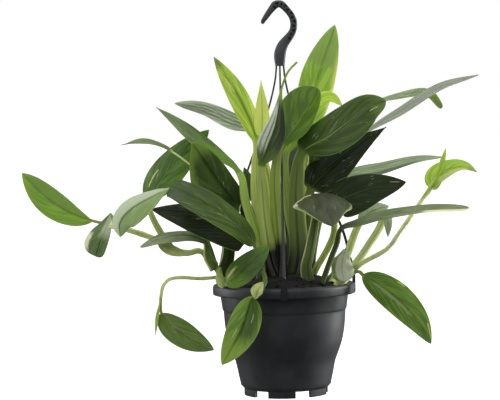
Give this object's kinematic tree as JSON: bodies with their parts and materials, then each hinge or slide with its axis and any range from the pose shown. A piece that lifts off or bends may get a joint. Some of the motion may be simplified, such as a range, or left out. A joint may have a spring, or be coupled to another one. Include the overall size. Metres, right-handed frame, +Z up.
{
  "type": "potted foliage plant",
  "caption": "Hanging pot of long-leaved variegated philodendron-type plant, with dark soil, a three-strand hanger and a hook on top.",
  "frame": {"origin": "saddle of the hook, the point on the hook's inner edge that hangs on a support", "axes": "+Z up along the hanger; +X to the viewer's right in the picture, along the widest spread of the leaves; the viewer looks along +Y"},
  "size_m": [0.5007, 0.2705, 0.4293],
  "materials": {
    "pot": "fine matte, moulded",
    "hanger": "satin, moulded",
    "soil": "rough, crumbly",
    "leaf_dark": "satin, waxy",
    "leaf_mid": "satin, waxy",
    "leaf_lime": "satin, waxy"
  },
  "bodies": {
    "root": {"pot": "pot", "soil": "soil", "hook": "hanger", "strand_front": "hanger", "strand_right": "hanger", "strand_left": "hanger", "leafy_stem_left_rim": "leaf_mid", "leafy_stem_front_left": "leaf_dark", "leafy_stem_left_centre": "leaf_mid", "leafy_stem_centre_left": "leaf_lime", "leafy_stem_centre": "leaf_dark", "leafy_stem_centre_back": "leaf_lime", "leafy_stem_centre_right": "leaf_mid", "leafy_stem_right": "leaf_dark", "leafy_stem_right_front": "leaf_dark", "leafy_stem_right_inner": "leaf_mid", "leafy_stem_right_rim": "leaf_lime", "leafy_stem_back": "leaf_dark"}
  },
  "joints": []
}
